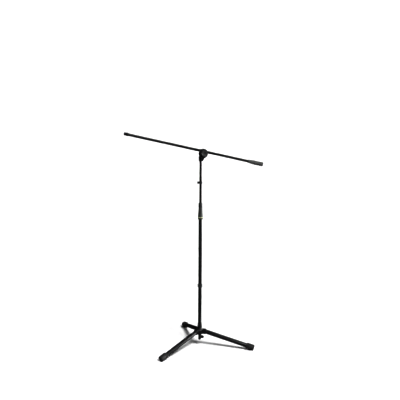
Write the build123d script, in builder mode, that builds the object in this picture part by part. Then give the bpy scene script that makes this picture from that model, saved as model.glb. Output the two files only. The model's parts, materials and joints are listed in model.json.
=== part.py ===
from build123d import *
import os
from math import atan2, cos, hypot, radians, sin

# Boom microphone stand: folding three-leg base, two-piece pole with a twist clutch, and a
# boom that tilts and slides in a clamp at the top of the pole.
# Millimetres, +Z up. The origin is on the pole axis at the floor. The boom runs parallel to
# the XZ plane, in front of the pole (towards -Y), with its microphone end towards -X.

# ------------------------------------------------------------------ driving dimensions
# Base
LEGS = {"right": -36.0, "rear": 84.0, "left": 204.0}  # degrees from +X, seen from above
LEG_PIVOT_R = 31.0        # pivot pin to pole axis
LEG_PIVOT_Z = 92.7
FOOT_R = 330.0            # end of a foot to pole axis
FOOT_AXIS_Z = 14.4        # height of the leg's axis at its end
LEG_TUBE_R = 12.5
LEG_WALL = 1.2
LEG_PIN_R = 3.0
FOOT_CAP_R = 17.4
FOOT_CAP_LENGTH = 46.0
FOOT_CAP_END_WALL = 6.0
FOOT_CAP_CORNER = 5.0     # broken edge around its end
FOOT_CAP_LIP = 2.2        # and around its mouth

KNUCKLE_R = 9.0           # tongue's round end, about the pin
KNUCKLE_HALF = 7.0        # half the tongue's thickness
KNUCKLE_FLANGE_START = 12.4
KNUCKLE_FLANGE = 2.0
KNUCKLE_PLUG_LENGTH = 30.0
KNUCKLE_PLUG_BORE_R = 8.0
KNUCKLE_PLUG_FLOOR = 4.0

EAR_R = 12.0
EAR_HALF_GAP = 7.2
EAR_THICKNESS = 4.2
HUB_R = 21.0
HUB_SHOULDER_Z = LEG_PIVOT_Z + 7.0
HUB_WAIST_R = 16.5
HUB_NECK_R = 13.5
HUB_COLLAR_R = 11.3
HUB_COLLAR_TOP_Z = LEG_PIVOT_Z + 51.0

# Leg lock under the hub
LOCK_BOLT_R = 4.0
LOCK_BOLT_TIP_Z = 48.0
LOCK_BORE_BOTTOM_Z = 44.0 # the knob's bore, deeper than the bolt by its travel
LOCK_PLATE_THICKNESS = 4.0
LOCK_PLATE_REACH = 39.5
LOCK_PLATE_ARM_HALF = 6.4
LOCK_PLATE_HUB_R = 20.0   # its round middle
LOCK_WASHER_R = 8.5
LOCK_WASHER_THICKNESS = 1.6
LOCK_KNOB_R = 8.2
LOCK_KNOB_EDGE = 3.0      # broken edge at its bottom
LOCK_KNOB_FLARE = 2.0     # how far its top flares out
LOCK_KNOB_FLARE_DEPTH = 8.0
LOCK_KNOB_BOTTOM_Z = 37.0
LEVER_ANGLE = -32.0       # direction of the knob's lever, seen from above
LEVER_REACH = 18.2        # centre of its round end to the knob's axis
LEVER_END_R = 7.4
LEVER_END_Z = 55.5
LEVER_HALF = 3.6          # half its thickness

# Pole
POLE_R = 10.0             # lower tube
POLE_WALL = 1.2
POLE_BOTTOM_Z = LEG_PIVOT_Z - 2.0
POLE_TOP_Z = 790.0
BUMPER_R = 14.0
BUMPER_BOTTOM_Z = 365.0
BUMPER_HEIGHT = 20.0
BUMPER_EDGE = 2.0         # broken edge
ROD_R = 7.0               # upper rod
ROD_WALL = 1.2
ROD_BOTTOM_Z = 492.0
ROD_TOP_Z = 1125.0

# Height clutch
COLLAR_BOTTOM_Z = 775.0
COLLAR_TOP_Z = 787.0
COLLAR_R = 14.5
RING_TOP_Z = 789.8
RING_R = 14.1
GRIP_TOP_Z = 846.0
GRIP_R_LOW = 13.8
GRIP_R_TOP = 11.2
CAP_R = 11.5
CAP_TOP_R = 9.5
CAP_TOP_Z = 875.0
CLUTCH_BASE_BOTTOM_Z = 762.0
TAPER_START_Z = 821.0     # collet's lower end, inside the boss
BOSS_R = 9.3
BOSS_TOP_Z = 836.0
COLLET_R = 9.0
COLLET_SHOULDER_Z = 842.0
COLLET_TOP_Z = 858.0

# Cable clip on the rod
CLIP_Z = 993.0
CLIP_HEIGHT = 13.0
CLIP_ANGLE = 158.0        # direction of the cable hook, seen from above
CABLE_R = 3.4
CABLE_CENTRE_R = 14.2

# Head: distances along the pivot axis are counted from the pole axis towards -Y
PIVOT_Z = 1165.0
BOOM_TILT = 13.2          # degrees, microphone end up
SHOULDER_BOTTOM_Z = 1117.5
SHOULDER_TOP_Z = 1148.0
SOCKET_R = 11.75
HEAD_R = 26.8
HEAD_BACK = 29.2
HEAD_FRONT = 40.4
WEB_HALF = 9.2            # half the width of the web from the socket to the head
WEB_CHAMFER = 4.0
WASHER_THICKNESS = 1.5
WASHER_R = 12.4
WASHER_BORE_R = 3.3
CLAMP_BACK = 5.0
CLAMP_FRONT = 27.5
CLAMP_SPLIT = 1.0
CLAMP_R = 12.8            # round underside, about the pivot
CLAMP_TOP = 21.0
CLAMP_CORNER_R = 1.8
CLAMP_BOLT_R = 3.0
CLAMP_BOLT_HEAD_R = 6.5
CLAMP_BOLT_HEAD = 4.0     # its height
CLAMP_BOLT_CROWN = 1.6    # rounding of its outer edge
CLAMP_BOLT_TIP = 45.5
KNOB_BACK = 40.65
KNOB_FRONT = 50.6
KNOB_R = 19.0
KNOB_FLUTES = 12
KNOB_RECESS_R = 12.5
KNOB_RECESS = 2.2         # its depth

# Boom: distances along the boom are counted from the pivot, positive to the rear
BOOM_R = 7.0
BOOM_WALL = 1.2
BOOM_OFFSET = 16.5        # boom axis to pole axis, towards -Y
BOOM_RISE = 12.0          # boom axis above the pivot axis
BOOM_FRONT = -451.4
BOOM_REAR = 394.0
TIP_END = -475.4
THREAD_R = 7.94           # 5/8 in thread
STUD_R = 4.76             # 3/8 in thread
SLEEVE_START = 300.0
SLEEVE_END = 396.0
SLEEVE_R = 12.0
SLEEVE_GROOVES = [350.0, 377.0]
WEIGHT_START = 334.0
WEIGHT_R = 10.4
END_CAP_END = 402.0

# Clearances
RUNNING = 0.05            # radial, shaft in a bore
FACE_GAP = 0.2            # between faces that slide or turn past each other

# ------------------------------------------------------------------ worked-out values
LEG_SLOPE = atan2(LEG_PIVOT_Z - FOOT_AXIS_Z, FOOT_R - LEG_PIVOT_R)
LEG_LENGTH = hypot(LEG_PIVOT_Z - FOOT_AXIS_Z, FOOT_R - LEG_PIVOT_R)
LEG_TUBE_START = KNUCKLE_FLANGE_START + KNUCKLE_FLANGE
LEG_TUBE_END = LEG_LENGTH - FOOT_CAP_END_WALL
LEG_BORE_R = LEG_TUBE_R - LEG_WALL
EAR_OUTSIDE = EAR_HALF_GAP + EAR_THICKNESS
HUB_BOTTOM_Z = LEG_PIVOT_Z - EAR_R
HUB_WAIST_Z = LEG_PIVOT_Z + EAR_R
HUB_NECK_Z = HUB_WAIST_Z + 11.0
LOCK_PLATE_TOP_Z = HUB_BOTTOM_Z - 0.5
LOCK_PLATE_BOTTOM_Z = LOCK_PLATE_TOP_Z - LOCK_PLATE_THICKNESS
LOCK_KNOB_TOP_Z = LOCK_PLATE_BOTTOM_Z - LOCK_WASHER_THICKNESS - FACE_GAP
POLE_BORE_R = POLE_R - POLE_WALL
ROD_BORE_R = ROD_R - ROD_WALL
BOOM_BORE_R = BOOM_R - BOOM_WALL


def upright_plane(angle):
    """Vertical plane through the pole axis: x outwards at this angle, y up, z across."""
    out = (cos(radians(angle)), sin(radians(angle)), 0)
    across = (sin(radians(angle)), -cos(radians(angle)), 0)
    return Plane(origin=(0, 0, 0), x_dir=out, z_dir=across)


def leg_side(angle):
    """A leg's own plane: origin on its pin, x along the leg, y upwards, z across."""
    upright = upright_plane(angle)
    pivot = upright.from_local_coords((LEG_PIVOT_R, LEG_PIVOT_Z, 0))
    along = upright.x_dir * cos(LEG_SLOPE) - upright.y_dir * sin(LEG_SLOPE)
    return Plane(origin=pivot, x_dir=along, z_dir=upright.z_dir)


def leg_section(angle, distance):
    """Plane square to a leg, this far from its pin, with z along the leg."""
    side = leg_side(angle)
    return Plane(origin=side.from_local_coords((distance, 0, 0)), x_dir=side.z_dir, z_dir=side.x_dir)


# The boom's side plane: origin on the pivot, x along the boom to the rear, y up, z to -Y
BOOM_SIDE = Plane(
    origin=(0, 0, PIVOT_Z),
    x_dir=(cos(radians(BOOM_TILT)), 0, -sin(radians(BOOM_TILT))),
    z_dir=(0, -1, 0),
)
HEAD_SIDE = Plane(origin=(0, 0, PIVOT_Z), x_dir=(1, 0, 0), z_dir=(0, -1, 0))


def boom_section(distance):
    """Plane square to the boom, centred on its axis, with z along the boom to the rear."""
    centre = BOOM_SIDE.from_local_coords((distance, BOOM_RISE, BOOM_OFFSET))
    return Plane(origin=centre, x_dir=BOOM_SIDE.z_dir, z_dir=BOOM_SIDE.x_dir)


def turning_plane(axis_plane):
    """Plane holding axis_plane's z axis, for a profile of (radius, distance) turned about it."""
    return Plane(origin=axis_plane.origin, x_dir=axis_plane.x_dir, z_dir=-axis_plane.y_dir)


def turned(plane, points):
    """Adds a closed (radius, distance) outline turned about the plane's z axis."""
    with BuildSketch(turning_plane(plane)) as outline:
        with BuildLine():
            Polyline(*points, close=True)
        make_face()
    revolve(outline.sketch, axis=Axis(plane.origin, plane.z_dir))


def rod(plane, radius, length, mode=Mode.ADD):
    """Adds or cuts a round bar that starts on the plane and runs along its z."""
    with Locations(plane):
        Cylinder(radius, length, align=(Align.CENTER, Align.CENTER, Align.MIN), mode=mode)


def ring(plane, outer, inner, length):
    """Adds a round sleeve that starts on the plane and runs along its z."""
    with BuildSketch(plane) as section:
        Circle(outer)
        Circle(inner, mode=Mode.SUBTRACT)
    extrude(section.sketch, amount=length)


os.makedirs("parts", exist_ok=True)

# ------------------------------------------------------------------ base: hub
with BuildPart() as hub:
    turned(Plane.XY, [
        (0, HUB_BOTTOM_Z), (HUB_R, HUB_BOTTOM_Z), (HUB_R, HUB_SHOULDER_Z),
        (HUB_WAIST_R, HUB_WAIST_Z), (HUB_NECK_R, HUB_NECK_Z), (HUB_COLLAR_R, HUB_COLLAR_TOP_Z),
        (0, HUB_COLLAR_TOP_Z),
    ])
    for angle in LEGS.values():
        with BuildSketch(upright_plane(angle).offset(-EAR_OUTSIDE)):
            with Locations((LEG_PIVOT_R, LEG_PIVOT_Z)):
                Circle(EAR_R)
            with Locations((LEG_PIVOT_R / 2, LEG_PIVOT_Z)):
                Rectangle(LEG_PIVOT_R, 2 * EAR_R)
        extrude(amount=2 * EAR_OUTSIDE)
    for angle in LEGS.values():
        with BuildSketch(upright_plane(angle).offset(-EAR_HALF_GAP)):
            with Locations((HUB_R + 0.4, HUB_BOTTOM_Z)):
                Rectangle(2 * EAR_R, 2 * EAR_R, align=(Align.MIN, Align.MIN))
        extrude(amount=2 * EAR_HALF_GAP, mode=Mode.SUBTRACT)
        rod(leg_side(angle).offset(-EAR_OUTSIDE), LEG_PIN_R, 2 * EAR_OUTSIDE, mode=Mode.SUBTRACT)
    rod(Plane.XY.offset(POLE_BOTTOM_Z), POLE_R, HUB_COLLAR_TOP_Z - POLE_BOTTOM_Z, mode=Mode.SUBTRACT)
    rod(Plane.XY.offset(HUB_BOTTOM_Z), LOCK_BOLT_R, POLE_BOTTOM_Z - HUB_BOTTOM_Z, mode=Mode.SUBTRACT)
hub.part.label = "hub"
export_step(hub.part, "parts/hub.step")

PIN_HEAD_R = 4.4
PIN_HEAD = 1.4
with BuildPart() as leg_pivot_pins:
    for angle in LEGS.values():
        side = leg_side(angle)
        rod(side.offset(-EAR_OUTSIDE), LEG_PIN_R, 2 * EAR_OUTSIDE)
        rod(side.offset(EAR_OUTSIDE), PIN_HEAD_R, PIN_HEAD)
        rod(side.offset(-EAR_OUTSIDE - PIN_HEAD), PIN_HEAD_R, PIN_HEAD)
leg_pivot_pins.part.label = "leg_pivot_pins"
export_step(leg_pivot_pins.part, "parts/leg_pivot_pins.step")

# ------------------------------------------------------------------ base: legs
for name, angle in LEGS.items():
    side = leg_side(angle)

    with BuildPart() as leg_knuckle:
        with BuildSketch(side.offset(-KNUCKLE_HALF)):
            Circle(KNUCKLE_R)
            with Locations((KNUCKLE_FLANGE_START / 2, 0)):
                Rectangle(KNUCKLE_FLANGE_START, 2 * KNUCKLE_R)
        extrude(amount=2 * KNUCKLE_HALF)
        rod(leg_section(angle, KNUCKLE_FLANGE_START), LEG_TUBE_R, KNUCKLE_FLANGE)
        rod(leg_section(angle, LEG_TUBE_START), LEG_BORE_R, KNUCKLE_PLUG_LENGTH)
        rod(leg_section(angle, LEG_TUBE_START + KNUCKLE_PLUG_FLOOR), KNUCKLE_PLUG_BORE_R,
            KNUCKLE_PLUG_LENGTH, mode=Mode.SUBTRACT)
        rod(side.offset(-KNUCKLE_HALF), LEG_PIN_R + RUNNING, 2 * KNUCKLE_HALF, mode=Mode.SUBTRACT)
    leg_knuckle.part.label = f"leg_knuckle_{name}"
    export_step(leg_knuckle.part, f"parts/leg_knuckle_{name}.step")

    with BuildPart() as leg_tube:
        ring(leg_section(angle, LEG_TUBE_START), LEG_TUBE_R, LEG_BORE_R, LEG_TUBE_END - LEG_TUBE_START)
    leg_tube.part.label = f"leg_tube_{name}"
    export_step(leg_tube.part, f"parts/leg_tube_{name}.step")

    with BuildPart() as foot_cap:
        start = LEG_LENGTH - FOOT_CAP_LENGTH
        turned(leg_section(angle, 0), [
            (LEG_TUBE_R, start), (FOOT_CAP_R - FOOT_CAP_LIP, start), (FOOT_CAP_R, start + FOOT_CAP_LIP),
            (FOOT_CAP_R, LEG_LENGTH - FOOT_CAP_CORNER),
            (FOOT_CAP_R - FOOT_CAP_CORNER, LEG_LENGTH), (0, LEG_LENGTH),
            (0, LEG_TUBE_END), (LEG_TUBE_R, LEG_TUBE_END),
        ])
        split(bisect_by=Plane.XY, keep=Keep.TOP)
    foot_cap.part.label = f"foot_cap_{name}"
    export_step(foot_cap.part, f"parts/foot_cap_{name}.step")

# ------------------------------------------------------------------ base: leg lock
HEX_ACROSS_FLATS = 13.0
HEX_HEIGHT = 5.3
with BuildPart() as lock_screw:
    rod(Plane.XY.offset(LOCK_BOLT_TIP_Z), LOCK_BOLT_R, POLE_BOTTOM_Z - LOCK_BOLT_TIP_Z)
    with BuildSketch(Plane.XY.offset(POLE_BOTTOM_Z)):
        RegularPolygon(HEX_ACROSS_FLATS / 2, 6, major_radius=False)
    extrude(amount=HEX_HEIGHT)
lock_screw.part.label = "lock_screw"
export_step(lock_screw.part, "parts/lock_screw.step")


def pad_height(radius):
    """Top of a lock-plate pad, parallel to the knuckle's underside and just clear of it."""
    reach = KNUCKLE_R + FACE_GAP
    foot_r = LEG_PIVOT_R - reach * sin(LEG_SLOPE)
    foot_z = LEG_PIVOT_Z - reach * cos(LEG_SLOPE)
    return foot_z - (radius - foot_r) * sin(LEG_SLOPE) / cos(LEG_SLOPE)


PAD_INNER_R = 27.5
with BuildPart() as lock_plate:
    rod(Plane.XY.offset(LOCK_PLATE_BOTTOM_Z), LOCK_PLATE_HUB_R, LOCK_PLATE_THICKNESS)
    for angle in LEGS.values():
        with BuildSketch(upright_plane(angle).offset(-LOCK_PLATE_ARM_HALF)):
            with BuildLine():
                Polyline(
                    (0, LOCK_PLATE_BOTTOM_Z), (LOCK_PLATE_REACH - 2, LOCK_PLATE_BOTTOM_Z),
                    (LOCK_PLATE_REACH, LOCK_PLATE_BOTTOM_Z + 1.5),
                    (LOCK_PLATE_REACH, pad_height(LOCK_PLATE_REACH)),
                    (PAD_INNER_R, pad_height(PAD_INNER_R)), (PAD_INNER_R - 3.5, LOCK_PLATE_TOP_Z),
                    (0, LOCK_PLATE_TOP_Z), close=True,
                )
            make_face()
        extrude(amount=2 * LOCK_PLATE_ARM_HALF)
    rod(Plane.XY.offset(LOCK_PLATE_BOTTOM_Z), LOCK_BOLT_R + RUNNING, LOCK_PLATE_THICKNESS,
        mode=Mode.SUBTRACT)
lock_plate.part.label = "lock_plate"
export_step(lock_plate.part, "parts/lock_plate.step")

with BuildPart() as lock_washer:
    ring(Plane.XY.offset(LOCK_PLATE_BOTTOM_Z - LOCK_WASHER_THICKNESS), LOCK_WASHER_R,
         LOCK_BOLT_R + RUNNING, LOCK_WASHER_THICKNESS)
lock_washer.part.label = "lock_washer"
export_step(lock_washer.part, "parts/lock_washer.step")

INSERT_R = 6.5
INSERT_LENGTH = 12.0
LEVER_ROOT_Z = (45.0, 68.0)   # where the lever's edges leave the knob
with BuildPart() as lock_knob:
    turned(Plane.XY, [
        (0, LOCK_KNOB_BOTTOM_Z), (LOCK_KNOB_R - LOCK_KNOB_EDGE, LOCK_KNOB_BOTTOM_Z),
        (LOCK_KNOB_R, LOCK_KNOB_BOTTOM_Z + LOCK_KNOB_EDGE),
        (LOCK_KNOB_R, LOCK_KNOB_TOP_Z - LOCK_KNOB_FLARE_DEPTH),
        (LOCK_KNOB_R + LOCK_KNOB_FLARE, LOCK_KNOB_TOP_Z - LOCK_KNOB_FLARE_DEPTH / 2),
        (LOCK_KNOB_R + LOCK_KNOB_FLARE, LOCK_KNOB_TOP_Z), (0, LOCK_KNOB_TOP_Z),
    ])
    with BuildSketch(upright_plane(LEVER_ANGLE).offset(-LEVER_HALF)):
        with BuildLine():
            CenterArc((LEVER_REACH, LEVER_END_Z), LEVER_END_R, 0, 360)
            Line((0, LEVER_ROOT_Z[0]), (0, LEVER_ROOT_Z[1]))
        make_hull()
    extrude(amount=2 * LEVER_HALF)
    rod(Plane.XY.offset(LOCK_KNOB_TOP_Z - INSERT_LENGTH), INSERT_R, INSERT_LENGTH, mode=Mode.SUBTRACT)
    rod(Plane.XY.offset(LOCK_BORE_BOTTOM_Z), LOCK_BOLT_R + RUNNING,
        LOCK_KNOB_TOP_Z - INSERT_LENGTH - LOCK_BORE_BOTTOM_Z, mode=Mode.SUBTRACT)
lock_knob.part.label = "lock_knob"
export_step(lock_knob.part, "parts/lock_knob.step")

with BuildPart() as lock_knob_insert:
    ring(Plane.XY.offset(LOCK_KNOB_TOP_Z - INSERT_LENGTH), INSERT_R, LOCK_BOLT_R + RUNNING,
         INSERT_LENGTH)
lock_knob_insert.part.label = "lock_knob_insert"
export_step(lock_knob_insert.part, "parts/lock_knob_insert.step")

# ------------------------------------------------------------------ pole: lower tube
with BuildPart() as lower_tube:
    ring(Plane.XY.offset(POLE_BOTTOM_Z), POLE_R, POLE_BORE_R, POLE_TOP_Z - POLE_BOTTOM_Z)
lower_tube.part.label = "lower_tube"
export_step(lower_tube.part, "parts/lower_tube.step")

with BuildPart() as bumper_ring:
    top = BUMPER_BOTTOM_Z + BUMPER_HEIGHT
    turned(Plane.XY, [
        (POLE_R, BUMPER_BOTTOM_Z), (BUMPER_R - BUMPER_EDGE, BUMPER_BOTTOM_Z),
        (BUMPER_R, BUMPER_BOTTOM_Z + BUMPER_EDGE), (BUMPER_R, top - BUMPER_EDGE),
        (BUMPER_R - BUMPER_EDGE, top), (POLE_R, top),
    ])
bumper_ring.part.label = "bumper_ring"
export_step(bumper_ring.part, "parts/bumper_ring.step")

# ------------------------------------------------------------------ pole: height clutch
CLUTCH_BORE_R = ROD_R + 0.3
BASE_FLANGE = 3.0
BOSS_LIP = 0.7            # wall left at the mouth of its taper
with BuildPart() as clutch_base:
    turned(Plane.XY, [
        (CLUTCH_BORE_R, CLUTCH_BASE_BOTTOM_Z), (POLE_BORE_R, CLUTCH_BASE_BOTTOM_Z),
        (POLE_BORE_R, POLE_TOP_Z), (POLE_R, POLE_TOP_Z), (POLE_R, POLE_TOP_Z + BASE_FLANGE),
        (BOSS_R, POLE_TOP_Z + BASE_FLANGE), (BOSS_R, BOSS_TOP_Z), (BOSS_R - BOSS_LIP, BOSS_TOP_Z),
        (CLUTCH_BORE_R, TAPER_START_Z - 3),
    ])
clutch_base.part.label = "clutch_base"
export_step(clutch_base.part, "parts/clutch_base.step")

COLLET_SLITS = 4
COLLET_SLIT = 1.0
COLLET_TIP_R = 7.7
with BuildPart() as clutch_collet:
    turned(Plane.XY, [
        (ROD_R + RUNNING, TAPER_START_Z), (COLLET_TIP_R - 0.2, TAPER_START_Z),
        (COLLET_R - 0.5, BOSS_TOP_Z), (COLLET_R, BOSS_TOP_Z), (COLLET_R, COLLET_SHOULDER_Z),
        (COLLET_TIP_R, COLLET_TOP_Z), (ROD_R + RUNNING, COLLET_TOP_Z),
    ])
    with BuildSketch(Plane.XY.offset(BOSS_TOP_Z + 2)):
        with PolarLocations(COLLET_R, COLLET_SLITS):
            Rectangle(2 * (COLLET_R - ROD_R) + 2, COLLET_SLIT)
    extrude(amount=COLLET_TOP_Z - BOSS_TOP_Z, mode=Mode.SUBTRACT)
clutch_collet.part.label = "clutch_collet"
export_step(clutch_collet.part, "parts/clutch_collet.step")

with BuildPart() as clutch_collar:
    turned(Plane.XY, [
        (POLE_R, COLLAR_BOTTOM_Z), (POLE_R + 1, COLLAR_BOTTOM_Z), (COLLAR_R, COLLAR_BOTTOM_Z + 4),
        (COLLAR_R, COLLAR_TOP_Z - 0.8), (COLLAR_R - 0.8, COLLAR_TOP_Z), (POLE_R, COLLAR_TOP_Z),
    ])
clutch_collar.part.label = "clutch_collar"
export_step(clutch_collar.part, "parts/clutch_collar.step")

with BuildPart() as clutch_ring:
    ring(Plane.XY.offset(COLLAR_TOP_Z), RING_R, POLE_R, RING_TOP_Z - COLLAR_TOP_Z)
clutch_ring.part.label = "clutch_ring"
export_step(clutch_ring.part, "parts/clutch_ring.step")

GRIP_BORE_R = BOSS_R + FACE_GAP
GRIP_BOTTOM_Z = RING_TOP_Z + FACE_GAP
GRIP_COUNTERBORE_Z = POLE_TOP_Z + BASE_FLANGE + 0.4
with BuildPart() as clutch_grip:
    turned(Plane.XY, [
        (POLE_R + 0.4, GRIP_BOTTOM_Z), (GRIP_R_LOW - 0.5, GRIP_BOTTOM_Z),
        (GRIP_R_LOW, GRIP_BOTTOM_Z + 1.5), (GRIP_R_TOP, GRIP_TOP_Z - 1.0),
        (GRIP_R_TOP - 0.5, GRIP_TOP_Z), (GRIP_BORE_R, GRIP_TOP_Z),
        (GRIP_BORE_R, GRIP_COUNTERBORE_Z), (POLE_R + 0.4, GRIP_COUNTERBORE_Z),
    ])
clutch_grip.part.label = "clutch_grip"
export_step(clutch_grip.part, "parts/clutch_grip.step")

with BuildPart() as clutch_cap:
    turned(Plane.XY, [
        (GRIP_BORE_R, GRIP_TOP_Z), (CAP_R - 1, GRIP_TOP_Z), (CAP_R - 1, GRIP_TOP_Z + 2),
        (CAP_R, GRIP_TOP_Z + 3), (CAP_R, CAP_TOP_Z - 10), (CAP_R - 0.6, CAP_TOP_Z - 6),
        (CAP_TOP_R, CAP_TOP_Z), (CLUTCH_BORE_R, CAP_TOP_Z), (CLUTCH_BORE_R, COLLET_TOP_Z + 4.5),
        (GRIP_BORE_R, GRIP_TOP_Z + 5),
    ])
clutch_cap.part.label = "clutch_cap"
export_step(clutch_cap.part, "parts/clutch_cap.step")

# ------------------------------------------------------------------ pole: upper rod
BUSH_LENGTH = 25.0
RETAINER_R = 8.3
RETAINER_THICKNESS = 1.2
PLUG_LENGTH = 20.0        # inside the rod
PLUG_FLANGE = 4.0
STUD_ROOT = 30.0          # the stud's length inside the rod
BUSH_BOTTOM_Z = ROD_BOTTOM_Z + FACE_GAP
with BuildPart() as rod_guide_bush:
    ring(Plane.XY.offset(BUSH_BOTTOM_Z), POLE_BORE_R - 0.08, ROD_R + RUNNING, BUSH_LENGTH)
rod_guide_bush.part.label = "rod_guide_bush"
export_step(rod_guide_bush.part, "parts/rod_guide_bush.step")

with BuildPart() as bush_retaining_ring:
    ring(Plane.XY.offset(BUSH_BOTTOM_Z + BUSH_LENGTH + FACE_GAP), RETAINER_R, ROD_R,
         RETAINER_THICKNESS)
bush_retaining_ring.part.label = "bush_retaining_ring"
export_step(bush_retaining_ring.part, "parts/bush_retaining_ring.step")

with BuildPart() as rod_end_plug:
    rod(Plane.XY.offset(ROD_BOTTOM_Z), ROD_BORE_R, PLUG_LENGTH)
    rod(Plane.XY.offset(ROD_BOTTOM_Z - PLUG_FLANGE), RETAINER_R, PLUG_FLANGE)
rod_end_plug.part.label = "rod_end_plug"
export_step(rod_end_plug.part, "parts/rod_end_plug.step")

with BuildPart() as upper_rod:
    ring(Plane.XY.offset(ROD_BOTTOM_Z), ROD_R, ROD_BORE_R, ROD_TOP_Z - ROD_BOTTOM_Z)
upper_rod.part.label = "upper_rod"
export_step(upper_rod.part, "parts/upper_rod.step")

STUD_TOP_Z = 1139.0
with BuildPart() as rod_top_stud:
    rod(Plane.XY.offset(ROD_TOP_Z - STUD_ROOT), ROD_BORE_R, STUD_ROOT)
    rod(Plane.XY.offset(ROD_TOP_Z), STUD_R, STUD_TOP_Z - ROD_TOP_Z)
rod_top_stud.part.label = "rod_top_stud"
export_step(rod_top_stud.part, "parts/rod_top_stud.step")

# ------------------------------------------------------------------ cable clip
CLIP_WALL = 2.4
CLIP_MOUTH = 50.0         # half the rod ring's opening, degrees
CLIP_HOOK_WALL = 1.6
CLIP_HOOK_MOUTH = 5.2     # width of the hook's opening
with BuildPart() as cable_clip:
    with BuildSketch(Plane.XY.offset(CLIP_Z - CLIP_HEIGHT / 2).rotated((0, 0, CLIP_ANGLE))):
        Circle(ROD_R + RUNNING + CLIP_WALL)
        with Locations((CABLE_CENTRE_R, 0)):
            Circle(CABLE_R + CLIP_HOOK_WALL)
        Circle(ROD_R + RUNNING, mode=Mode.SUBTRACT)
        with Locations((CABLE_CENTRE_R, 0)):
            Circle(CABLE_R, mode=Mode.SUBTRACT)
        with Locations((CABLE_CENTRE_R, -CABLE_R)):
            Rectangle(CLIP_HOOK_MOUTH, 2 * CABLE_R, mode=Mode.SUBTRACT)
        with BuildLine():
            mouth_x = 2 * ROD_R * sin(radians(CLIP_MOUTH))
            mouth_y = -2 * ROD_R * cos(radians(CLIP_MOUTH))
            Polyline((0, 0), (mouth_x, mouth_y), (mouth_x, -2 * ROD_R), (-mouth_x, -2 * ROD_R),
                     (-mouth_x, mouth_y), close=True)
        make_face(mode=Mode.SUBTRACT)
    extrude(amount=CLIP_HEIGHT)
cable_clip.part.label = "cable_clip"
export_step(cable_clip.part, "parts/cable_clip.step")

# ------------------------------------------------------------------ head: shoulder
WEB_END = 36.0
UNDERSIDE_START = 8.4     # where the underside leaves the socket, from the pole axis
UNDERSIDE_END = 33.0      # where it reaches the bottom of the round head
with BuildPart() as shoulder:
    rod(Plane.XY.offset(SHOULDER_BOTTOM_Z), SOCKET_R, SHOULDER_TOP_Z - SHOULDER_BOTTOM_Z)
    fillet(shoulder.edges().filter_by(GeomType.CIRCLE).sort_by(Axis.Z)[-1], WEB_CHAMFER)
    # web from the socket to the round head
    with BuildSketch(Plane.XZ):
        with BuildLine():
            Polyline(
                (-WEB_HALF, SHOULDER_BOTTOM_Z), (WEB_HALF, SHOULDER_BOTTOM_Z),
                (WEB_HALF, SHOULDER_TOP_Z - WEB_CHAMFER), (WEB_HALF - WEB_CHAMFER, SHOULDER_TOP_Z),
                (WEB_CHAMFER - WEB_HALF, SHOULDER_TOP_Z), (-WEB_HALF, SHOULDER_TOP_Z - WEB_CHAMFER),
                close=True,
            )
        make_face()
    extrude(amount=WEB_END)
    rod(HEAD_SIDE.offset(HEAD_BACK), HEAD_R, HEAD_FRONT - HEAD_BACK)
    # the underside rises from the socket to the head
    with BuildSketch(Plane.YZ.offset(-HEAD_R)):
        with BuildLine():
            Polyline(
                (-UNDERSIDE_START, SHOULDER_BOTTOM_Z), (-UNDERSIDE_END, PIVOT_Z - HEAD_R),
                (-HEAD_FRONT - 1, PIVOT_Z - HEAD_R), (-HEAD_FRONT - 1, SHOULDER_BOTTOM_Z), close=True,
            )
        make_face()
    extrude(amount=2 * HEAD_R, mode=Mode.SUBTRACT)
    rod(Plane.XY.offset(SHOULDER_BOTTOM_Z), ROD_R, ROD_TOP_Z - SHOULDER_BOTTOM_Z, mode=Mode.SUBTRACT)
    rod(Plane.XY.offset(ROD_TOP_Z), STUD_R, STUD_TOP_Z - ROD_TOP_Z, mode=Mode.SUBTRACT)
    rod(HEAD_SIDE.offset(HEAD_BACK), CLAMP_BOLT_R + RUNNING, HEAD_FRONT - HEAD_BACK, mode=Mode.SUBTRACT)
shoulder.part.label = "shoulder"
export_step(shoulder.part, "parts/shoulder.step")

with BuildPart() as friction_washer:
    ring(HEAD_SIDE.offset(HEAD_BACK - WASHER_THICKNESS), WASHER_R, WASHER_BORE_R, WASHER_THICKNESS)
friction_washer.part.label = "friction_washer"
export_step(friction_washer.part, "parts/friction_washer.step")

# ------------------------------------------------------------------ head: boom clamp
CLAMP_HALVES = {
    "clamp_rear_half": (CLAMP_BACK, BOOM_OFFSET - CLAMP_SPLIT / 2),
    "clamp_front_half": (BOOM_OFFSET + CLAMP_SPLIT / 2, CLAMP_FRONT),
}
for name, (back, front) in CLAMP_HALVES.items():
    with BuildPart() as clamp_half:
        with BuildSketch(BOOM_SIDE.offset(back)):
            Circle(CLAMP_R)
            with Locations((0, CLAMP_TOP / 2)):
                Rectangle(2 * CLAMP_R, CLAMP_TOP)
        extrude(amount=front - back)
        fillet(clamp_half.edges().filter_by(Axis.Y).sort_by(Axis.Z)[-2:], CLAMP_CORNER_R)
        rod(boom_section(-CLAMP_R), BOOM_R + RUNNING, 2 * CLAMP_R, mode=Mode.SUBTRACT)
        rod(BOOM_SIDE.offset(back), CLAMP_BOLT_R, front - back, mode=Mode.SUBTRACT)
    clamp_half.part.label = name
    export_step(clamp_half.part, f"parts/{name}.step")

with BuildPart() as clamp_bolt:
    rod(BOOM_SIDE.offset(CLAMP_BACK), CLAMP_BOLT_R, CLAMP_BOLT_TIP - CLAMP_BACK)
    rod(BOOM_SIDE.offset(CLAMP_BACK - CLAMP_BOLT_HEAD), CLAMP_BOLT_HEAD_R, CLAMP_BOLT_HEAD)
    fillet(clamp_bolt.edges().filter_by(GeomType.CIRCLE).sort_by(Axis.Y)[-1], CLAMP_BOLT_CROWN)
clamp_bolt.part.label = "clamp_bolt"
export_step(clamp_bolt.part, "parts/clamp_bolt.step")

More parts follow.
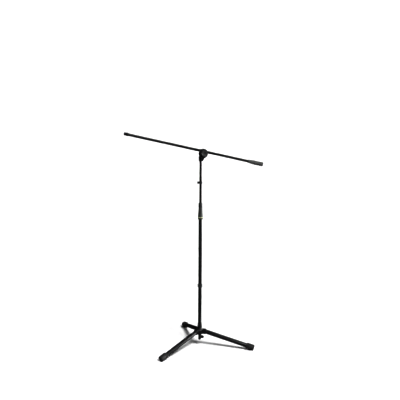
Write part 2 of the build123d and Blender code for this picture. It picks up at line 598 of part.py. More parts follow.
# ------------------------------------------------------------------ head: clamp knob
KNOB_INSERT_R = 6.0
KNOB_INSERT_LENGTH = 5.75
KNOB_FLOOR = KNOB_FRONT - KNOB_RECESS
KNOB_FLUTE_R = 4.0
KNOB_FLUTE_DEPTH = 0.8
with BuildPart() as clamp_knob:
    turned(HEAD_SIDE, [
        (0, KNOB_BACK), (KNOB_R - 2, KNOB_BACK), (KNOB_R, KNOB_BACK + 2), (KNOB_R, KNOB_FRONT - 4),
        (KNOB_R - 1.6, KNOB_FRONT - 1.6), (KNOB_R - 4.4, KNOB_FRONT),
        (KNOB_RECESS_R + 0.8, KNOB_FRONT), (KNOB_RECESS_R, KNOB_FRONT - 0.8),
        (KNOB_RECESS_R, KNOB_FLOOR), (0, KNOB_FLOOR),
    ])
    with BuildSketch(HEAD_SIDE.offset(KNOB_BACK)):
        with PolarLocations(KNOB_R + KNOB_FLUTE_R - KNOB_FLUTE_DEPTH, KNOB_FLUTES):
            Circle(KNOB_FLUTE_R)
    extrude(amount=KNOB_FRONT - KNOB_BACK, mode=Mode.SUBTRACT)
    rod(HEAD_SIDE.offset(KNOB_BACK), KNOB_INSERT_R, KNOB_INSERT_LENGTH, mode=Mode.SUBTRACT)
clamp_knob.part.label = "clamp_knob"
export_step(clamp_knob.part, "parts/clamp_knob.step")

with BuildPart() as clamp_knob_insert:
    ring(HEAD_SIDE.offset(KNOB_BACK), KNOB_INSERT_R, CLAMP_BOLT_R + RUNNING, KNOB_INSERT_LENGTH)
clamp_knob_insert.part.label = "clamp_knob_insert"
export_step(clamp_knob_insert.part, "parts/clamp_knob_insert.step")

KNOB_CAP_THICKNESS = 1.5
with BuildPart() as clamp_knob_cap:
    rod(HEAD_SIDE.offset(KNOB_FLOOR), KNOB_RECESS_R, KNOB_CAP_THICKNESS)
    chamfer(clamp_knob_cap.edges().filter_by(GeomType.CIRCLE).sort_by(Axis.Y)[0], 0.4)
clamp_knob_cap.part.label = "clamp_knob_cap"
export_step(clamp_knob_cap.part, "parts/clamp_knob_cap.step")

# ------------------------------------------------------------------ boom
with BuildPart() as boom_tube:
    ring(boom_section(BOOM_FRONT), BOOM_R, BOOM_BORE_R, BOOM_REAR - BOOM_FRONT)
boom_tube.part.label = "boom_tube"
export_step(boom_tube.part, "parts/boom_tube.step")

TIP_COLLAR = 5.0
TIP_COLLAR_R = 9.0
TIP_PLUG_LENGTH = 22.0
with BuildPart() as boom_end_plug:
    rod(boom_section(BOOM_FRONT), BOOM_BORE_R, TIP_PLUG_LENGTH)
    rod(boom_section(BOOM_FRONT - TIP_COLLAR), TIP_COLLAR_R, TIP_COLLAR)
    rod(boom_section(TIP_END + 1), STUD_R, BOOM_FRONT - TIP_COLLAR - TIP_END - 1)
boom_end_plug.part.label = "boom_end_plug"
export_step(boom_end_plug.part, "parts/boom_end_plug.step")

THREAD_LENGTH = 12.0      # in front of the lock ring
THREAD_RELIEF_R = 7.4     # plain neck behind the thread, under the lock ring
with BuildPart() as thread_adapter:
    ring(boom_section(TIP_END), THREAD_R, STUD_R, THREAD_LENGTH)
    ring(boom_section(TIP_END + THREAD_LENGTH), THREAD_RELIEF_R, STUD_R,
         BOOM_FRONT - TIP_COLLAR - TIP_END - THREAD_LENGTH)
thread_adapter.part.label = "thread_adapter"
export_step(thread_adapter.part, "parts/thread_adapter.step")

LOCK_RING_LENGTH = 6.5
LOCK_RING_R = 9.75
with BuildPart() as lock_ring:
    start = BOOM_FRONT - TIP_COLLAR - FACE_GAP
    turned(boom_section(0), [
        (THREAD_R + RUNNING, start), (LOCK_RING_R - 0.6, start), (LOCK_RING_R, start - 0.6),
        (LOCK_RING_R, start - LOCK_RING_LENGTH + 0.6), (LOCK_RING_R - 0.6, start - LOCK_RING_LENGTH),
        (THREAD_R + RUNNING, start - LOCK_RING_LENGTH),
    ])
lock_ring.part.label = "lock_ring"
export_step(lock_ring.part, "parts/lock_ring.step")

# ------------------------------------------------------------------ boom: weighted grip
with BuildPart() as counterweight:
    ring(boom_section(WEIGHT_START), WEIGHT_R, BOOM_R, BOOM_REAR - WEIGHT_START)
counterweight.part.label = "counterweight"
export_step(counterweight.part, "parts/counterweight.step")

GROOVE_WIDTH = 2.0
GROOVE_DEPTH = 0.8
with BuildPart() as grip_sleeve:
    turned(boom_section(0), [
        (BOOM_R, SLEEVE_START), (BOOM_R + 1, SLEEVE_START), (BOOM_R + 1.7, SLEEVE_START + 2),
        (SLEEVE_R - 0.6, SLEEVE_START + 33), (SLEEVE_R, SLEEVE_START + 42),
        (SLEEVE_R, SLEEVE_END), (WEIGHT_R, SLEEVE_END),
        (WEIGHT_R, WEIGHT_START), (BOOM_R, WEIGHT_START),
    ])
    for groove in SLEEVE_GROOVES:
        with BuildSketch(boom_section(groove - GROOVE_WIDTH / 2)):
            Circle(SLEEVE_R + 1)
            Circle(SLEEVE_R - GROOVE_DEPTH, mode=Mode.SUBTRACT)
        extrude(amount=GROOVE_WIDTH, mode=Mode.SUBTRACT)
grip_sleeve.part.label = "grip_sleeve"
export_step(grip_sleeve.part, "parts/grip_sleeve.step")

SPIGOT_START = BOOM_REAR - 14
with BuildPart() as grip_end_cap:
    turned(boom_section(0), [
        (0, SPIGOT_START), (BOOM_BORE_R, SPIGOT_START), (BOOM_BORE_R, BOOM_REAR),
        (WEIGHT_R, BOOM_REAR), (WEIGHT_R, SLEEVE_END), (SLEEVE_R, SLEEVE_END),
        (SLEEVE_R, END_CAP_END - 1.2), (SLEEVE_R - 1.2, END_CAP_END), (0, END_CAP_END),
    ])
grip_end_cap.part.label = "grip_end_cap"
export_step(grip_end_cap.part, "parts/grip_end_cap.step")
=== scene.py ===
"""Boom microphone stand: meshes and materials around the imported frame. Metres, +Z up."""

import json
import math

import bmesh
import bpy
from mathutils import Matrix, Vector


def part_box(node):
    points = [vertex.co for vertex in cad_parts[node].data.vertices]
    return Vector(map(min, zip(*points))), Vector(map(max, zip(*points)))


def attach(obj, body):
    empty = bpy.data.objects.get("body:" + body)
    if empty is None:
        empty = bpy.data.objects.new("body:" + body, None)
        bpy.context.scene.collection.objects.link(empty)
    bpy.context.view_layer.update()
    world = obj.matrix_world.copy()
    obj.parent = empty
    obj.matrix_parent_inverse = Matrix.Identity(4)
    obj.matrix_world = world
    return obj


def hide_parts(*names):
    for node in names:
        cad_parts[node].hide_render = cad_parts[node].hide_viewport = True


MM = 0.001
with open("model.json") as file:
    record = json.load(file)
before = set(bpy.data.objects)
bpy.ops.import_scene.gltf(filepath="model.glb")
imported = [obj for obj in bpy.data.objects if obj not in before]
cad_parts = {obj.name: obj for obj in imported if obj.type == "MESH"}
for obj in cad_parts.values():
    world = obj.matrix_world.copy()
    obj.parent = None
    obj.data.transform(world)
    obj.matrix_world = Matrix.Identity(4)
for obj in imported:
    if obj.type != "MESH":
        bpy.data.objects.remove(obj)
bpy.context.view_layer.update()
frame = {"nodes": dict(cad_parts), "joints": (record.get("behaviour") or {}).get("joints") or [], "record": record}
JOINTS = {joint["name"]: joint for joint in frame["joints"]}
SLOT_OF = {part["node"]: part["material_slot"] for part in frame["record"]["subparts"]}
BODY_OF = {
    node: body for body, nodes in frame["record"]["behaviour"]["bodies"].items() for node in nodes
}
LEGS = ("right", "rear", "left")


# ------------------------------------------------------------------ camera
def direction(azimuth, elevation):
    """Unit vector from the object towards a viewer; azimuth 0 is the -Y side, 90 is +X."""
    a, e = math.radians(azimuth), math.radians(elevation)
    return Vector((math.sin(a) * math.cos(e), -math.cos(a) * math.cos(e), math.sin(e)))


VIEW_AZIMUTH = -23.75
VIEW_ELEVATION = 9.72
VIEW_DISTANCE = 3.713
VIEW_HEIGHT = 0.8907  # of the point looked at
VIEW_SHIFT = 0.003  # how far left of the pole that point is
VIEW_ROLL = 0.375
LENS_MM = 57.52


def add_camera():
    """The photograph's view: from the front, a little to the left, and from above the boom."""
    roll = math.radians(VIEW_ROLL)
    back = direction(VIEW_AZIMUTH, VIEW_ELEVATION)
    right = direction(VIEW_AZIMUTH + 90, 0)
    up = back.cross(right)
    target = Vector((0, 0, VIEW_HEIGHT)) - VIEW_SHIFT * right
    rolled_right = right * math.cos(roll) + up * math.sin(roll)
    rolled_up = up * math.cos(roll) - right * math.sin(roll)
    camera = bpy.data.objects.new("camera", bpy.data.cameras.new("camera"))
    bpy.context.scene.collection.objects.link(camera)
    camera.data.sensor_width = 36.0
    camera.data.lens = LENS_MM
    camera.data.clip_end = 100.0
    turn = Matrix((rolled_right, rolled_up, back)).transposed()
    camera.matrix_world = Matrix.Translation(target + VIEW_DISTANCE * back) @ turn.to_4x4()
    bpy.context.scene.camera = camera


add_camera()


# ------------------------------------------------------------------ node helpers for materials
class Finish:
    """A Principled material and short ways to wire its colour, roughness and bump."""

    def __init__(self, name, colour, roughness, metallic=0.0):
        self.material = bpy.data.materials.new(name)
        self.material.use_nodes = True
        self.tree = self.material.node_tree
        self.shader = self.tree.nodes["Principled BSDF"]
        self.shader.inputs["Base Color"].default_value = (*colour, 1.0)
        self.shader.inputs["Roughness"].default_value = roughness
        self.shader.inputs["Metallic"].default_value = metallic
        self.place = self.tree.nodes.new("ShaderNodeTexCoord").outputs["Object"]
        self.height = None

    def join(self, output, node, socket):
        """Links an output to a node's named input."""
        self.tree.links.new(output, node.inputs[socket])

    def noise(self, scale, detail=3.0, roughness=0.5, stretch=None):
        """Noise in object space; scale is in features per metre."""
        node = self.tree.nodes.new("ShaderNodeTexNoise")
        node.inputs["Scale"].default_value = scale
        node.inputs["Detail"].default_value = detail
        node.inputs["Roughness"].default_value = roughness
        source = self.place
        if stretch:
            mapping = self.tree.nodes.new("ShaderNodeMapping")
            mapping.inputs["Scale"].default_value = stretch
            self.join(source, mapping, "Vector")
            source = mapping.outputs["Vector"]
        self.join(source, node, "Vector")
        return node.outputs["Fac"]

    def cells(self, scale):
        """Pebbled grain in object space, as distances from scattered points."""
        node = self.tree.nodes.new("ShaderNodeTexVoronoi")
        node.inputs["Scale"].default_value = scale
        self.join(self.place, node, "Vector")
        return node.outputs["Distance"]

    def spread(self, value, low, high, to_low=0.0, to_high=1.0):
        """Maps low..high to to_low..to_high, clamped."""
        node = self.tree.nodes.new("ShaderNodeMapRange")
        node.inputs["From Min"].default_value = low
        node.inputs["From Max"].default_value = high
        node.inputs["To Min"].default_value = to_low
        node.inputs["To Max"].default_value = to_high
        self.join(value, node, "Value")
        return node.outputs["Result"]

    def tint(self, factor, first, second):
        """Colour running from first to second with factor, fed to the base colour."""
        node = self.tree.nodes.new("ShaderNodeMix")
        node.data_type = "RGBA"
        node.inputs["A"].default_value = (*first, 1.0)
        node.inputs["B"].default_value = (*second, 1.0)
        self.join(factor, node, "Factor")
        self.join(node.outputs["Result"], self.shader, "Base Color")

    def retint(self, factor, colour):
        """Mixes one more colour over whatever feeds the base colour."""
        before = self.shader.inputs["Base Color"].links[0].from_socket
        node = self.tree.nodes.new("ShaderNodeMix")
        node.data_type = "RGBA"
        self.join(factor, node, "Factor")
        self.join(before, node, "A")
        node.inputs["B"].default_value = (*colour, 1.0)
        self.join(node.outputs["Result"], self.shader, "Base Color")

    def gloss(self, value, low, high):
        """Roughness running from low to high as value runs over its middle range."""
        self.join(self.spread(value, 0.3, 0.7, low, high), self.shader, "Roughness")

    def bump(self, height, distance, strength=1.0):
        """Stacks one more layer of relief; distance is its depth in metres."""
        node = self.tree.nodes.new("ShaderNodeBump")
        node.inputs["Distance"].default_value = distance
        node.inputs["Strength"].default_value = strength
        self.join(height, node, "Height")
        if self.height:
            self.join(self.height, node, "Normal")
        self.height = node.outputs["Normal"]
        self.join(self.height, self.shader, "Normal")


def powder_coat(name, colour, roughness):
    """Satin powder coat: orange peel, cloudy colour and gloss, and a few rubbed spots."""
    finish = Finish(name, colour, roughness)
    finish.shader.inputs["Specular IOR Level"].default_value = 0.3
    lighter = [channel * 1.5 + 0.003 for channel in colour]
    finish.tint(finish.spread(finish.noise(35, 4), 0.35, 0.7), colour, lighter)
    rubbed = finish.spread(finish.noise(420, 6, 0.7, stretch=(1, 1, 0.25)), 0.68, 0.78, 0, 0.5)
    finish.retint(rubbed, (0.05, 0.05, 0.05))
    finish.gloss(finish.noise(90, 4), roughness - 0.06, roughness + 0.10)
    finish.bump(finish.noise(1400, 2), 0.04 * MM, 0.6)
    finish.bump(finish.noise(5200, 1), 0.01 * MM, 0.4)
    return finish.material


def moulded_rubber(name, colour):
    """Matt rubber with a fine bloom, scuffs and dust."""
    finish = Finish(name, colour, 0.7)
    finish.shader.inputs["Specular IOR Level"].default_value = 0.35
    dusty = [channel * 2.0 + 0.008 for channel in colour]
    finish.tint(finish.spread(finish.noise(60, 5, 0.6), 0.4, 0.75), colour, dusty)
    finish.gloss(finish.noise(180, 4), 0.58, 0.8)
    finish.bump(finish.noise(2600, 3), 0.05 * MM, 0.7)
    finish.bump(finish.spread(finish.noise(300, 5, 0.7), 0.62, 0.7), 0.06 * MM, 0.5)
    return finish.material


def moulded_plastic(name, colour, roughness, grain):
    """Spark-eroded moulded plastic; grain is the texture's features per metre."""
    finish = Finish(name, colour, roughness)
    lighter = [channel * 1.5 + 0.004 for channel in colour]
    finish.tint(finish.spread(finish.noise(50, 3), 0.35, 0.7), colour, lighter)
    finish.gloss(finish.noise(140, 3), roughness - 0.07, roughness + 0.09)
    finish.bump(finish.cells(grain), 0.04 * MM, 0.5)
    finish.bump(finish.noise(grain * 2.5, 2), 0.02 * MM, 0.5)
    return finish.material


def plated_steel(name, colour, roughness):
    """Plated or blackened steel: a slightly cloudy colour and gloss, and a very fine grain."""
    finish = Finish(name, colour, roughness, metallic=1.0)
    darker = [channel * 0.75 for channel in colour]
    finish.tint(finish.spread(finish.noise(250, 4), 0.35, 0.7), colour, darker)
    finish.gloss(finish.noise(900, 4), roughness - 0.08, roughness + 0.12)
    finish.bump(finish.noise(3000, 2), 0.01 * MM, 0.5)
    return finish.material


MATERIALS = {
    "steel_tube": powder_coat("steel_tube", (0.008, 0.008, 0.0084), 0.34),
    "cast_metal": powder_coat("cast_metal", (0.011, 0.011, 0.0114), 0.42),
    "rubber": moulded_rubber("rubber", (0.018, 0.018, 0.018)),
    "knob_plastic": moulded_plastic("knob_plastic", (0.016, 0.016, 0.016), 0.42, 2200),
    "soft_grip": moulded_plastic("soft_grip", (0.034, 0.034, 0.0325), 0.58, 3200),
    "ring_plastic": moulded_plastic("ring_plastic", (0.36, 0.38, 0.23), 0.4, 2600),
    "inner_plastic": moulded_plastic("inner_plastic", (0.07, 0.07, 0.07), 0.5, 2200),
    "zinc_steel": plated_steel("zinc_steel", (0.46, 0.46, 0.47), 0.32),
    "brass": plated_steel("brass", (0.78, 0.58, 0.26), 0.28),
    "black_steel": plated_steel("black_steel", (0.055, 0.055, 0.058), 0.36),
}
for node, cad in frame["nodes"].items():
    cad.data.materials.clear()
    cad.data.materials.append(MATERIALS[SLOT_OF[node]])


# ------------------------------------------------------------------ reading the frame
class Spindle:
    """An axis with a point on it and a direction, and the frame's sizes measured along it."""

    def __init__(self, point, along):
        self.point = Vector(point)
        self.along = Vector(along).normalized()
        helper = Vector((0, 0, 1)) if abs(self.along.z) < 0.9 else Vector((1, 0, 0))
        self.side = helper.cross(self.along).normalized()
        self.other = self.along.cross(self.side)

    def at(self, radius, distance, angle):
        out = self.side * math.cos(angle) + self.other * math.sin(angle)
        return self.point + self.along * distance + out * radius

    def span(self, node):
        """(start, end) of a node along the axis."""
        distances = [
            (vertex.co - self.point).dot(self.along) for vertex in frame["nodes"][node].data.vertices
        ]
        return min(distances), max(distances)

    def radii(self, node):
        """(smallest, largest) distance of a node's points from the axis."""
        offsets = [vertex.co - self.point for vertex in frame["nodes"][node].data.vertices]
        radii = [(offset - self.along * offset.dot(self.along)).length for offset in offsets]
        return min(radii), max(radii)


def middle(node):
    """The centre of a node's box."""
    low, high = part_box(node)
    return (low + high) / 2


POLE = Spindle((0, 0, 0), (0, 0, 1))

# from the microphone end to the weighted end
BOOM = Spindle(middle("boom_tube"), -Vector(JOINTS["boom_slide"]["axis"]))

# forwards from the plane y = 0, where the pole stands
knob_joint = JOINTS["clamp_knob_turn"]
KNOB = Spindle(Vector(knob_joint["pos_m"]) * Vector((1, 0, 1)), knob_joint["axis"])

# outwards from each leg's pin
LEG = {}
for leg in LEGS:
    leg_pin = Vector(JOINTS[f"leg_{leg}_fold"]["pos_m"])
    LEG[leg] = Spindle(leg_pin, middle(f"leg_tube_{leg}") - leg_pin)


# ------------------------------------------------------------------ mesh helpers
def add_piece(name, points, faces, node, smooth_below=32.0):
    """A new mesh piece that stands for a CAD node, in that node's body and material."""
    mesh = bpy.data.meshes.new(name)
    mesh.from_pydata([tuple(point) for point in points], [], faces)
    mesh.validate()
    mesh.update()
    mesh.polygons.foreach_set("use_smooth", [True] * len(mesh.polygons))
    mesh.set_sharp_from_angle(angle=math.radians(smooth_below))
    piece = bpy.data.objects.new(name, mesh)
    bpy.context.scene.collection.objects.link(piece)
    return stand_for(piece, node)


def stand_for(piece, node):
    """Gives a piece the CAD node's material and body, and hides the node."""
    piece.data.materials.clear()
    piece.data.materials.append(MATERIALS[SLOT_OF[node]])
    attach(piece, BODY_OF[node])
    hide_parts(node)
    return piece


def rounded(outline, steps=3):
    """A closed outline of (radius, distance, reach) with each corner eased into a curve.

    The curve starts and ends at most reach from the corner, and within the runs beside it.
    """
    points = []
    count = len(outline)
    for index, (r, t, wanted) in enumerate(outline):
        here = Vector((r, t))
        before = Vector(outline[index - 1][:2]) - here
        after = Vector(outline[(index + 1) % count][:2]) - here
        reach = min(wanted, 0.45 * before.length, 0.45 * after.length)
        if reach < 0.001 * MM:
            points.append((r, t))
            continue
        first = here + before.normalized() * reach
        last = here + after.normalized() * reach
        for step in range(steps + 1):
            f = step / steps
            bend = first * (1 - f) ** 2 + here * 2 * f * (1 - f) + last * f**2
            points.append((bend.x, bend.y))
    return points


def turned(node, spindle, outline, segments=64, relief=None, floor=None, smooth_below=32.0):
    """A piece turned about a spindle from a closed (radius, distance) outline.

    relief(radius, distance, angle) gives the radius to use there; floor flattens what is lower.
    """
    count = len(outline)
    points = []
    for turn in range(segments):
        angle = 2 * math.pi * turn / segments
        for r, t in outline:
            radius = relief(r, t, angle) if relief else r
            point = spindle.at(radius, t, angle)
            if floor is not None:
                point.z = max(point.z, floor)
            points.append(point)
    faces = []
    for turn in range(segments):
        here, there = turn * count, ((turn + 1) % segments) * count
        for i in range(count):
            j = (i + 1) % count
            faces.append((here + i, here + j, there + j, there + i))
    piece = add_piece(f"{node}_mesh", points, faces, node, smooth_below)
    weld_and_orient(piece)
    return piece


def weld_and_orient(piece):
    """Welds the points that a profile leaves on its axis, and makes the normals point out."""
    shape = bmesh.new()
    shape.from_mesh(piece.data)
    bmesh.ops.remove_doubles(shape, verts=shape.verts, dist=1e-6)
    bmesh.ops.dissolve_degenerate(shape, dist=1e-7, edges=shape.edges)
    bmesh.ops.recalc_face_normals(shape, faces=shape.faces)
    shape.to_mesh(piece.data)
    shape.free()


def softened(node, voxel, passes):
    """A cast or moulded piece: the CAD shape remade on a grid of voxel mm, its edges rounded off."""
    source = frame["nodes"][node]
    piece = bpy.data.objects.new(f"{node}_mesh", source.data.copy())
    bpy.context.scene.collection.objects.link(piece)
    remesh = piece.modifiers.new("remesh", "REMESH")
    remesh.mode = "VOXEL"
    remesh.voxel_size = voxel * MM
    remesh.use_smooth_shade = True
    smooth = piece.modifiers.new("smooth", "SMOOTH")
    smooth.factor = 0.5
    smooth.iterations = passes
    graph = bpy.context.evaluated_depsgraph_get()
    mesh = bpy.data.meshes.new_from_object(piece.evaluated_get(graph))
    piece.modifiers.clear()
    piece.data = mesh
    mesh.name = piece.name
    return stand_for(piece, node)


# ------------------------------------------------------------------ tubes
def add_tube(node, spindle, segments=72):
    """A tube with softly broken ends, from the CAD node's own ends and radii."""
    start, end = spindle.span(node)
    inner, outer = spindle.radii(node)
    edge = 0.35 * MM
    turned(node, spindle, rounded([
        (inner, start, edge), (outer, start, edge), (outer, end, edge), (inner, end, edge),
    ]), segments)


add_tube("lower_tube", POLE, 96)
add_tube("upper_rod", POLE)
add_tube("boom_tube", BOOM)
for leg in LEGS:
    add_tube(f"leg_tube_{leg}", LEG[leg], 96)


# ------------------------------------------------------------------ rubber feet and bumper
def add_foot_cap(leg):
    """Moulded rubber cap: a lip and two grip grooves at the mouth, flat where it stands."""
    node = f"foot_cap_{leg}"
    spindle = LEG[leg]
    start, end = spindle.span(node)
    _, outer = spindle.radii(node)
    bore = spindle.radii(f"leg_tube_{leg}")[1]
    tube_end = spindle.span(f"leg_tube_{leg}")[1]
    groove, depth, slope, land = 1.6 * MM, 0.9 * MM, 0.4 * MM, 3.4 * MM
    sole = end - 0.1 * MM
    outline = [
        (bore, start, 0.4 * MM), (outer - 2.4 * MM, start, 1.2 * MM),
        (outer, start + 2.6 * MM, 1.2 * MM),
    ]
    t = start + 6.5 * MM
    for _ in range(2):
        outline += [
            (outer, t, 0.4 * MM), (outer - depth, t + slope, 0.3 * MM),
            (outer - depth, t + groove - slope, 0.3 * MM), (outer, t + groove, 0.4 * MM),
        ]
        t += groove + land
    outline += [
        (outer, sole, 7.0 * MM), (0, sole, 0), (0, tube_end, 0), (bore, tube_end, 0.2 * MM),
    ]
    turned(node, spindle, rounded(outline), 96, floor=0.0)


for leg in LEGS:
    add_foot_cap(leg)


def add_bumper():
    """Rubber ring with two soft ribs, where the folded feet come to rest."""
    start, end = POLE.span("bumper_ring")
    inner, outer = POLE.radii("bumper_ring")
    edge, dip = 1.4 * MM, 0.9 * MM
    third = (end - start) / 3
    turned("bumper_ring", POLE, rounded([
        (inner, start, 0.3 * MM), (outer - 2.4 * MM, start, edge), (outer, start + 2.8 * MM, edge),
        (outer, start + third, edge), (outer - dip, start + third + dip, edge),
        (outer - dip, end - third - dip, edge), (outer, end - third, edge),
        (outer, end - 2.8 * MM, edge), (outer - 2.4 * MM, end, edge), (inner, end, 0.3 * MM),
    ]), 96)


add_bumper()


# ------------------------------------------------------------------ height clutch
def add_clutch_grip():
    """Tapered twist grip with long shallow flutes and a rounded lip at each end."""
    node = "clutch_grip"
    start, end = POLE.span(node)
    bore, outer = POLE.radii(node)
    top, core = 11.2 * MM, 10.4 * MM
    low, high = start + 4 * MM, end - 4 * MM
    flutes, depth, fade = 18, 0.55 * MM, 6 * MM
    outline = rounded([
        (bore, start, 0.2 * MM), (outer - 0.9 * MM, start, 0.6 * MM),
        (outer, start + 1.4 * MM, 0.8 * MM), (outer, low, 0.8 * MM),
    ])
    steps = 24
    for i in range(1, steps):
        f = i / steps
        outline.append((outer + (top - outer) * f, low + (high - low) * f))
    outline += rounded([
        (top, high, 0.5 * MM), (top, end - 0.8 * MM, 0.5 * MM), (top - 0.8 * MM, end, 0.5 * MM),
        (bore, end, 0.2 * MM),
    ])

    def fluted(radius, distance, angle):
        inside = min(distance - low, high - distance) / fade
        if inside <= 0 or radius < core:
            return radius
        wave = 0.5 + 0.5 * math.cos(flutes * angle)
        return radius - depth * min(1, inside) * (1 - wave**0.6)

    turned(node, POLE, outline, 216, fluted)


def add_clutch_cap():
    """Domed cap above the grip, with a narrow neck at its foot and one groove round it."""
    node = "clutch_cap"
    start, end = POLE.span(node)
    inner, outer = POLE.radii(node)
    bore = POLE.radii("clutch_grip")[0]
    neck, groove = outer - 1.0 * MM, outer - 0.5 * MM
    turned(node, POLE, rounded([
        (bore, start, 0.1 * MM), (neck, start, 0.2 * MM), (neck, start + 1.6 * MM, 0.4 * MM),
        (outer, start + 2.4 * MM, 0.8 * MM), (outer, start + 8 * MM, 0.3 * MM),
        (groove, start + 8.6 * MM, 0.3 * MM), (groove, start + 9.6 * MM, 0.3 * MM),
        (outer, start + 10.2 * MM, 0.3 * MM), (outer, end - 9 * MM, 4 * MM),
        (outer - 2.0 * MM, end - 0.6 * MM, 1.2 * MM), (inner, end, 0.6 * MM),
        (inner, end - 12.5 * MM, 0), (bore, end - 24 * MM, 0),
    ], 6), 96)


def add_clutch_band(node, foot, slope, edge):
    """A band round the pole's top: its lower edge widens from the radius foot over a slope."""
    start, end = POLE.span(node)
    inner, outer = POLE.radii(node)
    turned(node, POLE, rounded([
        (inner, start, 0.1 * MM), (foot, start, edge), (outer, start + slope, edge),
        (outer, end, edge), (inner, end, 0.1 * MM),
    ]), 96)


add_clutch_grip()
add_clutch_cap()
add_clutch_band("clutch_ring", POLE.radii("clutch_ring")[1], 0.6 * MM, 0.5 * MM)
add_clutch_band("clutch_collar", POLE.radii("clutch_collar")[0] + 1 * MM, 4 * MM, 0.8 * MM)


# ------------------------------------------------------------------ cast and moulded pieces
# node: (voxel in mm, smoothing passes)
SOFTENING = {
    "hub": (0.5, 4),
    "shoulder": (0.6, 6),
    "lock_plate": (0.6, 3),
    "lock_knob": (0.5, 8),
    "cable_clip": (0.35, 4),
    "clamp_rear_half": (0.5, 4),
    "clamp_front_half": (0.5, 4),
}
for leg in LEGS:
    SOFTENING[f"leg_knuckle_{leg}"] = (0.6, 3)
for node, (voxel, passes) in SOFTENING.items():
    softened(node, voxel, passes)


# ------------------------------------------------------------------ clamp knob
def add_clamp_knob():
    """Round knob with finger flutes, a bevelled lip and a sunk middle."""
    node = "clamp_knob"
    back, front = KNOB.span(node)
    _, outer = KNOB.radii(node)
    bore, sunk = 6.0 * MM, 12.5 * MM
    dish = front - 2.2 * MM
    flutes, depth, rim_width = 12, 1.3 * MM, 3.2 * MM
    outline = rounded([
        (bore, back, 0.2 * MM), (outer - 2 * MM, back, 0.6 * MM), (outer, back + 1.8 * MM, 1.0 * MM),
        (outer, front - 4.2 * MM, 1.4 * MM), (outer - 1.4 * MM, front - 1.9 * MM, 1.4 * MM),
        (outer - 3.4 * MM, front, 0.8 * MM), (sunk + 2.6 * MM, front, 0.8 * MM),
        (sunk, front - 1.6 * MM, 0.5 * MM), (sunk, dish, 0.1 * MM), (bore, dish, 0),
    ], 4)

    def fluted(radius, distance, angle):
        if radius < outer - rim_width:
            return radius
        return radius - depth * max(0.0, math.cos(flutes * angle)) ** 1.5

    turned(node, KNOB, outline, 240, fluted)


def add_knob_cap():
    """Dished cap in the knob's middle."""
    node = "clamp_knob_cap"
    start, end = KNOB.span(node)
    _, outer = KNOB.radii(node)
    turned(node, KNOB, rounded([
        (0, start, 0), (outer, start, 0.1 * MM), (outer, end - 0.6 * MM, 0.4 * MM),
        (outer - 1.0 * MM, end - 0.2 * MM, 0.4 * MM), (outer - 3.0 * MM, end - 0.3 * MM, 0.8 * MM),
        (outer - 4.5 * MM, end - 0.9 * MM, 1.0 * MM), (0, end - 1.0 * MM, 0),
    ], 4), 96)


add_clamp_knob()
add_knob_cap()


# ------------------------------------------------------------------ boom's microphone end
SKIN = 0.1 * MM  # what lies deeper than this under the outer radius stays smooth


def add_thread():
    """External 5/8 in thread, 27 turns to the inch, with a chamfered start."""
    node = "thread_adapter"
    start, end = BOOM.span(node)
    inner, outer = BOOM.radii(node)
    pitch = 25.4 / 27 * MM
    depth, chamfer = 0.55 * MM, 1.2 * MM
    rows_per_turn = 8
    steps = int((end - start) / pitch * rows_per_turn)
    outline = [(inner, start), (outer - depth, start)]
    outline += [(outer, start + (end - start) * i / steps) for i in range(1, steps)]
    outline += [(outer - depth, end), (inner, end)]

    def thread(radius, distance, angle):
        if radius < outer - SKIN:
            return radius
        phase = (distance / pitch - angle / (2 * math.pi)) % 1.0
        taper = min(1.0, (distance - start) / chamfer)
        return radius - depth * max(1 - taper, 1 - abs(2 * phase - 1))

    turned(node, BOOM, outline, 72, thread, smooth_below=60)


def add_lock_ring():
    """Knurled ring that jams against the microphone clip."""
    node = "lock_ring"
    start, end = BOOM.span(node)
    inner, outer = BOOM.radii(node)
    low, high = start + 0.9 * MM, end - 0.9 * MM
    diamonds, pitch, depth = 48, 1.25 * MM, 0.35 * MM
    steps = 22
    outline = rounded([(inner, start, 0.2 * MM), (outer - 0.7 * MM, start, 0.4 * MM)])
    outline += [(outer, low + (high - low) * i / steps) for i in range(steps + 1)]
    outline += rounded([(outer - 0.7 * MM, end, 0.4 * MM), (inner, end, 0.2 * MM)])

    def knurl(radius, distance, angle):
        if radius < outer - SKIN:
            return radius
        across = angle / (2 * math.pi) * diamonds
        along = (distance - low) / pitch
        first = abs(2 * ((across + along) % 1.0) - 1)
        second = abs(2 * ((across - along) % 1.0) - 1)
        return radius - depth * (1 - min(first, second) ** 0.8)

    turned(node, BOOM, outline, 384, knurl, smooth_below=25)


add_thread()
add_lock_ring()


# ------------------------------------------------------------------ boom's weighted grip
def add_grip_sleeve():
    """Soft sleeve: a nose and a long taper, then a straight barrel with two grooves round it."""
    node = "grip_sleeve"
    start, end = BOOM.span(node)
    inner, outer = BOOM.radii(node)
    weight = BOOM.radii("counterweight")[1]
    pocket = BOOM.span("counterweight")[0]
    width, depth = 2.0 * MM, 0.8 * MM
    outline = [
        (inner, start, 0.3 * MM), (8.0 * MM, start, 0.5 * MM), (8.8 * MM, start + 2.2 * MM, 1.5 * MM),
        (11.2 * MM, start + 31 * MM, 8 * MM), (outer, start + 42 * MM, 8 * MM),
    ]
    for groove in (end - 46 * MM, end - 19 * MM):
        a, b = groove - width / 2, groove + width / 2
        outline += [
            (outer, a - 0.3 * MM, 0.4 * MM), (outer - depth, a + 0.1 * MM, 0.3 * MM),
            (outer - depth, b - 0.1 * MM, 0.3 * MM), (outer, b + 0.3 * MM, 0.4 * MM),
        ]
    outline += [
        (outer, end, 0.4 * MM), (weight, end, 0.1 * MM), (weight, pocket, 0.1 * MM),
        (inner, pocket, 0.1 * MM),
    ]
    turned(node, BOOM, rounded(outline, 4), 96)


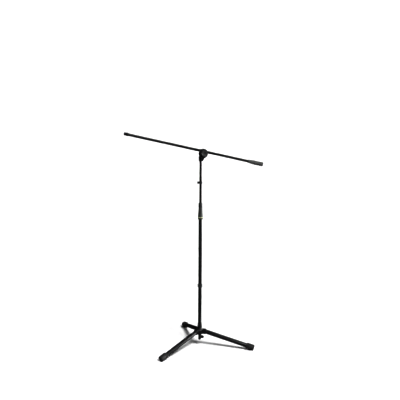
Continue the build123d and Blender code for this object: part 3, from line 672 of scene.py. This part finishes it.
def add_end_cap():
    """Square-ended plug that closes the sleeve."""
    node = "grip_end_cap"
    start, end = BOOM.span(node)
    _, outer = BOOM.radii(node)
    spigot = BOOM.radii("counterweight")[1]
    bore = BOOM.radii("boom_tube")[0]
    tube_end = BOOM.span("boom_tube")[1]
    sleeve_end = BOOM.span("grip_sleeve")[1]
    turned(node, BOOM, rounded([
        (0, start, 0), (bore, start, 0.5 * MM), (bore, tube_end, 0), (spigot, tube_end, 0),
        (spigot, sleeve_end, 0), (outer, sleeve_end, 0.3 * MM), (outer, end, 1.4 * MM),
        (outer - 4 * MM, end, 0.4 * MM), (outer - 4.6 * MM, end - 0.7 * MM, 0.3 * MM),
        (0, end - 0.7 * MM, 0),
    ], 4), 96)


add_grip_sleeve()
add_end_cap()


# ------------------------------------------------------------------ floor, backdrop and light
def white_paper(name, glow):
    """Matt white, with an even glow of its own."""
    material = bpy.data.materials.new(name)
    material.use_nodes = True
    shader = material.node_tree.nodes["Principled BSDF"]
    shader.inputs["Base Color"].default_value = (0.92, 0.92, 0.92, 1)
    shader.inputs["Roughness"].default_value = 0.9
    shader.inputs["Specular IOR Level"].default_value = 0.1
    shader.inputs["Emission Color"].default_value = (1, 1, 1, 1)
    shader.inputs["Emission Strength"].default_value = glow
    return material


def add_floor():
    """Wide white floor, left out of reflections, which would turn the black pieces grey."""
    bpy.ops.mesh.primitive_plane_add(size=60, location=(0, 0, 0))
    floor = bpy.context.object
    floor.name = "floor"
    floor.data.materials.append(white_paper("floor_paper", 0.0))
    floor.visible_glossy = False


def add_backdrop():
    """White dome that only the camera sees, so that the backdrop adds no light."""
    bpy.ops.mesh.primitive_uv_sphere_add(radius=28, segments=64, ring_count=32)
    dome = bpy.context.object
    dome.name = "backdrop"
    dome.data.materials.append(white_paper("backdrop_paper", 1.0))
    dome.visible_diffuse = False
    dome.visible_glossy = False
    dome.visible_shadow = False


def add_sun(name, azimuth, elevation, strength, spread):
    """Light from an azimuth and elevation; spread is the source's apparent width in degrees."""
    light = bpy.data.lights.new(name, "SUN")
    light.energy = strength
    light.angle = math.radians(spread)
    sun = bpy.data.objects.new(name, light)
    bpy.context.scene.collection.objects.link(sun)
    sun.rotation_mode = "QUATERNION"
    sun.rotation_quaternion = (-direction(azimuth, elevation)).to_track_quat("-Z", "Y")


def add_world(strength):
    """Weak white light from all round."""
    world = bpy.data.worlds.new("studio")
    world.use_nodes = True
    background = world.node_tree.nodes["Background"]
    background.inputs["Color"].default_value = (1, 1, 1, 1)
    background.inputs["Strength"].default_value = strength
    bpy.context.scene.world = world


add_floor()
add_backdrop()
add_world(0.05)
add_sun("key", VIEW_AZIMUTH + 33, 50, 4.7, 22)
add_sun("side", VIEW_AZIMUTH + 100, 2.5, 7.0, 10)

# a gamma below one darkens the greys and the thin edges
bpy.context.scene.view_settings.view_transform = "Standard"
bpy.context.scene.view_settings.gamma = 0.68
